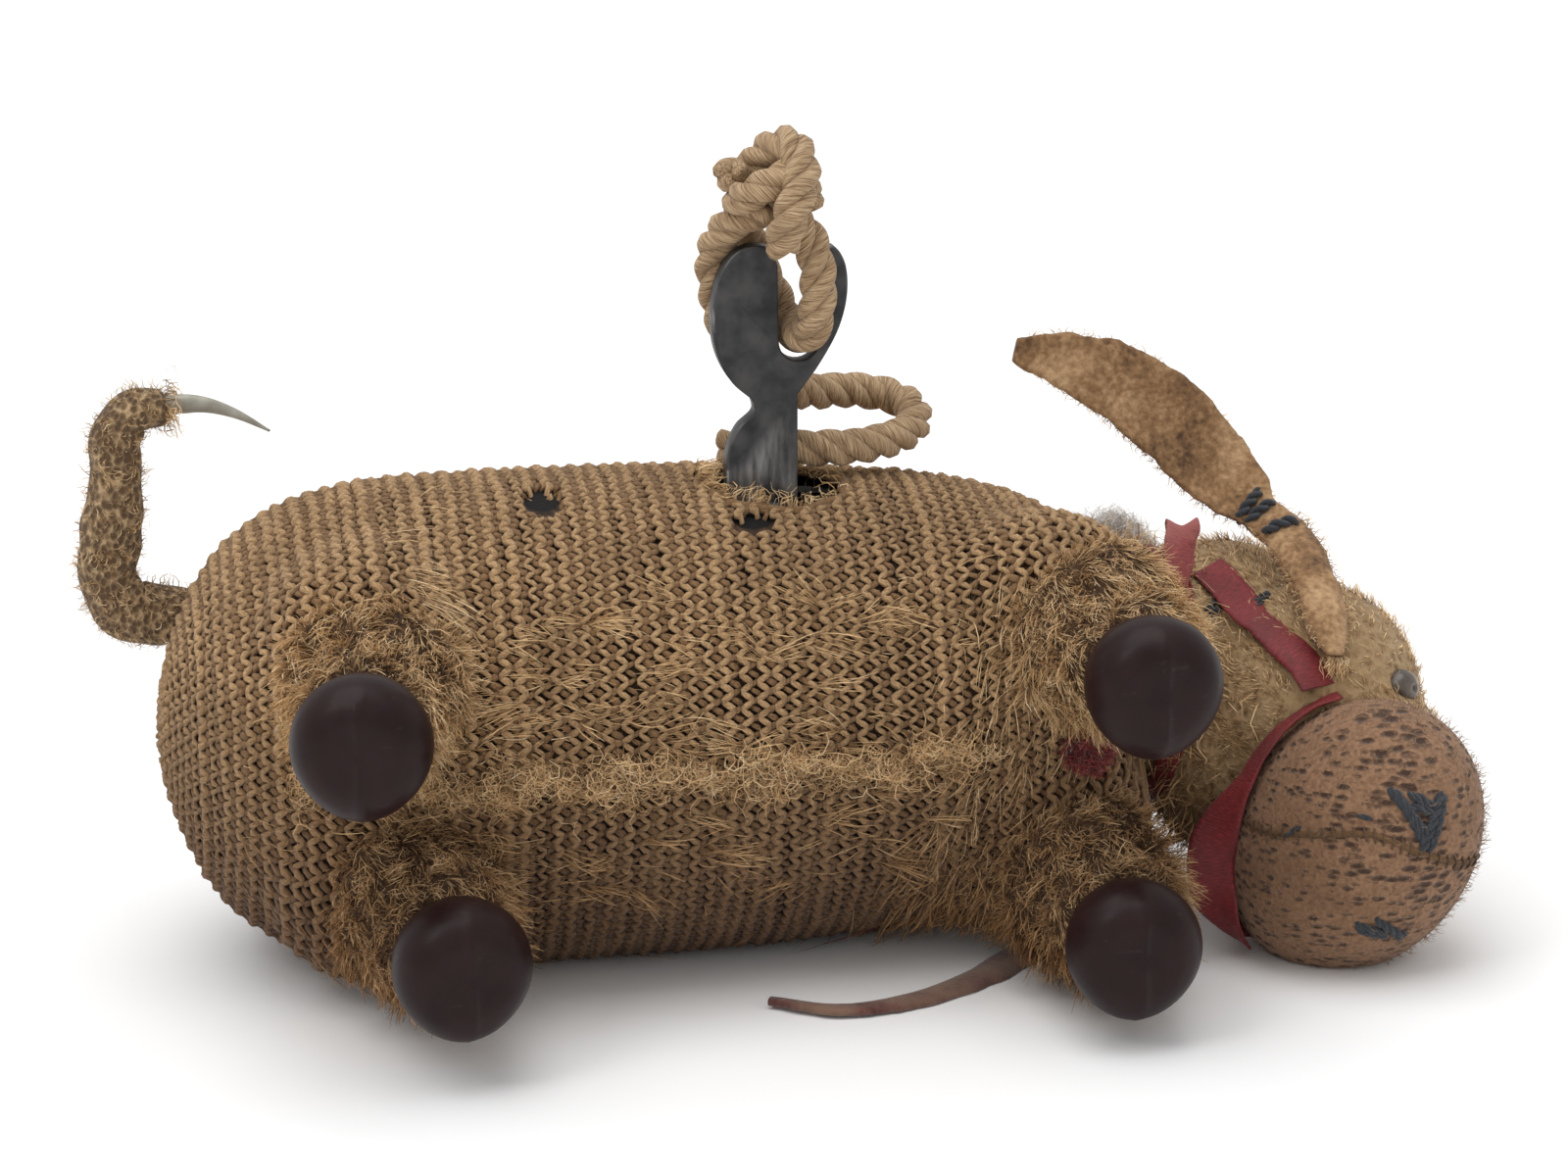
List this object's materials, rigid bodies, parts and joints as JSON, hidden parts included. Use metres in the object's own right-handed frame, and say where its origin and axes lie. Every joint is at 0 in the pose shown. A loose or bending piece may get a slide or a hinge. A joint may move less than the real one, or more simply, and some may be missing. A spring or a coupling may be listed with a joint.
{
  "type": "clockwork walking donkey",
  "caption": "Clockwork walking donkey in knitted plush, lying on its flank: swinging hoofed legs, felt ears, ribbon halter, wire tail and a forked winding key with a twisted string",
  "frame": {"origin": "on the surface that the toy lies on, under the middle of the toy's box (without the string on the key)", "axes": "+X from the tail to the head; +Y from the belly to the back; +Z from the left flank, which the toy lies on, up to the right flank, where the key stands. Turned -90 degrees about X the toy stands on its hooves"},
  "size_m": [0.1392, 0.0678, 0.0842],
  "materials": {
    "plush": "worn golden mohair pile on open jersey knit",
    "muzzle_knit": "worn pinkish tan knit",
    "ear_felt": "worn tan felt",
    "ear_felt_dark": "brown and maroon felt",
    "ribbon": "dark red woven ribbon",
    "wool": "grey white wool",
    "hoof_lacquer": "satin, near black brown",
    "bead": "dark glossy bead",
    "key_iron": "dark oxidised sheet steel",
    "cord": "tan twisted string",
    "tin": "plain pressed tinplate",
    "brass": "plain rolled brass",
    "steel": "plain drawn steel"
  },
  "bodies": {
    "toy_frame": {"body_cover": "plush", "body_shell_right": "tin", "body_shell_left": "tin", "movement_plate_left": "brass", "movement_plate_right": "brass", "movement_pillar_1": "steel", "movement_pillar_2": "steel", "movement_pillar_3": "steel", "movement_pillar_4": "steel", "mainspring": "steel", "rear_axle": "steel", "front_axle": "steel", "head_cover": "plush", "muzzle": "muzzle_knit", "right_eye": "bead", "left_eye": "bead", "noseband": "ribbon", "collar": "ribbon", "right_cheek_strap": "ribbon", "left_cheek_strap": "ribbon", "halter_bow": "ribbon", "right_ear": "ear_felt", "left_ear": "ear_felt_dark", "mane_tuft": "wool", "chest_tuft": "ribbon", "tail_cover": "plush", "tail_wire": "steel"},
    "great_wheel": {"great_wheel": "brass"},
    "click": {"click": "steel"},
    "winding_key": {"winding_arbor": "steel", "ratchet_wheel": "steel", "winding_key": "key_iron", "key_cord_loop": "cord", "key_cord_slot": "cord", "key_cord_knot": "cord"},
    "second_arbor": {"second_pinion": "steel", "second_wheel": "brass"},
    "crank_arbor": {"crank_pinion": "steel", "crank_wheel": "brass", "crank_disc_right": "steel", "crank_disc_left": "steel"},
    "escape_arbor": {"escape_pinion": "steel", "escape_wheel": "brass"},
    "pallet": {"pallet": "steel"},
    "rear_right_leg": {"rear_right_lever": "steel", "rear_right_leg_cover": "plush", "rear_right_hoof": "hoof_lacquer"},
    "rear_left_leg": {"rear_left_lever": "steel", "rear_left_leg_cover": "plush", "rear_left_hoof": "hoof_lacquer"},
    "front_right_leg": {"front_right_lever": "steel", "front_right_leg_cover": "plush", "front_right_hoof": "hoof_lacquer"},
    "front_left_leg": {"front_left_lever": "steel", "front_left_leg_cover": "plush", "front_left_hoof": "hoof_lacquer"},
    "driving_rod_right": {"driving_rod_right": "steel"},
    "driving_rod_left": {"driving_rod_left": "steel"}
  },
  "joints": [
    {"name": "crank_spin", "type": "hinge", "parent": "toy_frame", "child": "crank_arbor", "pos_m": [-0.02785, 0.0062, 0.0239], "axis": [0, 0, 1], "continuous": true},
    {"name": "second_spin", "type": "hinge", "parent": "toy_frame", "child": "second_arbor", "pos_m": [-0.0166, 0.0062, 0.0239], "axis": [0, 0, 1], "continuous": true},
    {"name": "great_wheel_spin", "type": "hinge", "parent": "toy_frame", "child": "great_wheel", "pos_m": [-0.0016, 0.0062, 0.0239], "axis": [0, 0, 1], "continuous": true},
    {"name": "escape_spin", "type": "hinge", "parent": "toy_frame", "child": "escape_arbor", "pos_m": [-0.03044, 0.01586, 0.0239], "axis": [0, 0, 1], "continuous": true},
    {"name": "pallet_rock", "type": "hinge", "parent": "toy_frame", "child": "pallet", "pos_m": [-0.02324, 0.01686, 0.0239], "axis": [0, 0, 1], "range_deg": [-4, 4]},
    {"name": "key_wind", "type": "hinge", "parent": "great_wheel", "child": "winding_key", "pos_m": [-0.0016, 0.0062, 0.0239], "axis": [0, 0, 1], "continuous": true},
    {"name": "click_lift", "type": "hinge", "parent": "great_wheel", "child": "click", "pos_m": [0.00485, 0.01095, 0.02635], "axis": [0, 0, 1], "range_deg": [-10, 0], "stiffness_Nm_per_rad": 0.00001},
    {"name": "rear_right_leg_swing", "type": "hinge", "parent": "toy_frame", "child": "rear_right_leg", "pos_m": [-0.0403, 0.0022, 0.035], "axis": [0, 0, 1], "range_deg": [-1.6, 17.4]},
    {"name": "rear_left_leg_swing", "type": "hinge", "parent": "toy_frame", "child": "rear_left_leg", "pos_m": [-0.0403, 0.0022, 0.0128], "axis": [0, 0, 1], "range_deg": [-17.4, 1.6]},
    {"name": "front_right_leg_swing", "type": "hinge", "parent": "toy_frame", "child": "front_right_leg", "pos_m": [0.0289, 0.0022, 0.035], "axis": [0, 0, 1], "range_deg": [-13.9, 11.5]},
    {"name": "front_left_leg_swing", "type": "hinge", "parent": "toy_frame", "child": "front_left_leg", "pos_m": [0.0289, 0.0022, 0.0128], "axis": [0, 0, 1], "range_deg": [-11.5, 13.9]},
    {"name": "driving_rod_right_pin", "type": "hinge", "parent": "front_right_leg", "child": "driving_rod_right", "pos_m": [0.02869, 0.0122, 0.0341], "axis": [0, 0, 1], "range_deg": [-11.5, 13.9]},
    {"name": "driving_rod_left_pin", "type": "hinge", "parent": "front_left_leg", "child": "driving_rod_left", "pos_m": [0.02911, 0.0122, 0.0137], "axis": [0, 0, 1], "range_deg": [-13.9, 11.5]}
  ],
  "couplings": [
    {"joint": "second_spin", "follows": "great_wheel_spin", "ratio": -4},
    {"joint": "crank_spin", "follows": "great_wheel_spin", "ratio": 16},
    {"joint": "escape_spin", "follows": "great_wheel_spin", "ratio": -48},
    {"joint": "rear_left_leg_swing", "follows": "rear_right_leg_swing", "ratio": -1},
    {"joint": "front_left_leg_swing", "follows": "front_right_leg_swing", "ratio": -1},
    {"joint": "driving_rod_right_pin", "follows": "front_right_leg_swing", "ratio": -1},
    {"joint": "driving_rod_left_pin", "follows": "front_right_leg_swing", "ratio": 1}
  ]
}
